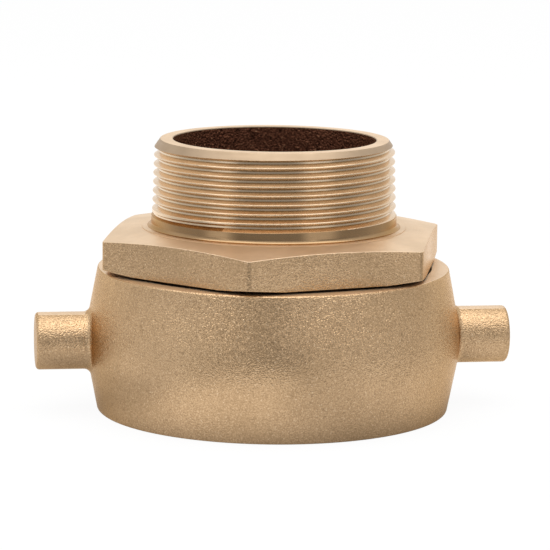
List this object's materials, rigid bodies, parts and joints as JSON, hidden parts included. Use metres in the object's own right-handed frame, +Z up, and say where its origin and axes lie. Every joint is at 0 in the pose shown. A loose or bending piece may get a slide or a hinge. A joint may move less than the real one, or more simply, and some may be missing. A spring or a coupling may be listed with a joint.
{
  "type": "swivel hose adapter",
  "caption": "Bronze hex nipple with a male taper pipe thread, standing in a free-turning female hose-thread swivel with pin lugs.",
  "frame": {"origin": "centre of the swivel's mouth, on the rim that it stands on", "axes": "+Z up the common axis towards the pipe thread, +X along the pin lugs"},
  "size_m": [0.118, 0.0928, 0.0672],
  "materials": {
    "nipple_bronze": "satin turned thread and collar, fine sand-cast hexagon sides",
    "swivel_bronze": "matte fine sand-cast, turned faces at the rims",
    "gasket_rubber": "matte moulded",
    "plug_brass": "satin turned",
    "ball_steel": "polished"
  },
  "bodies": {
    "nipple": {"hex_nipple": "nipple_bronze"},
    "swivel": {"swivel_body": "swivel_bronze", "gasket": "gasket_rubber", "fill_plug": "plug_brass"},
    "ball_ring": {"race_ball_01": "ball_steel", "race_ball_02": "ball_steel", "race_ball_03": "ball_steel", "race_ball_04": "ball_steel", "race_ball_05": "ball_steel", "race_ball_06": "ball_steel", "race_ball_07": "ball_steel", "race_ball_08": "ball_steel", "race_ball_09": "ball_steel", "race_ball_10": "ball_steel", "race_ball_11": "ball_steel", "race_ball_12": "ball_steel", "race_ball_13": "ball_steel", "race_ball_14": "ball_steel", "race_ball_15": "ball_steel", "race_ball_16": "ball_steel", "race_ball_17": "ball_steel", "race_ball_18": "ball_steel", "race_ball_19": "ball_steel", "race_ball_20": "ball_steel", "race_ball_21": "ball_steel", "race_ball_22": "ball_steel", "race_ball_23": "ball_steel", "race_ball_24": "ball_steel", "race_ball_25": "ball_steel", "race_ball_26": "ball_steel", "race_ball_27": "ball_steel", "race_ball_28": "ball_steel", "race_ball_29": "ball_steel", "race_ball_30": "ball_steel", "race_ball_31": "ball_steel", "race_ball_32": "ball_steel", "race_ball_33": "ball_steel", "race_ball_34": "ball_steel", "race_ball_35": "ball_steel", "race_ball_36": "ball_steel", "race_ball_37": "ball_steel", "race_ball_38": "ball_steel", "race_ball_39": "ball_steel", "race_ball_40": "ball_steel", "race_ball_41": "ball_steel", "race_ball_42": "ball_steel", "race_ball_43": "ball_steel", "race_ball_44": "ball_steel", "race_ball_45": "ball_steel", "race_ball_46": "ball_steel", "race_ball_47": "ball_steel", "race_ball_48": "ball_steel"}
  },
  "joints": [
    {"name": "swivel_turn", "type": "hinge", "parent": "nipple", "child": "swivel", "pos_m": [0, 0, 0.02975], "axis": [0, 0, 1], "continuous": true},
    {"name": "ball_orbit", "type": "hinge", "parent": "nipple", "child": "ball_ring", "pos_m": [0, 0, 0.02975], "axis": [0, 0, 1], "continuous": true}
  ],
  "couplings": [
    {"joint": "ball_orbit", "follows": "swivel_turn", "ratio": 0.5315}
  ]
}
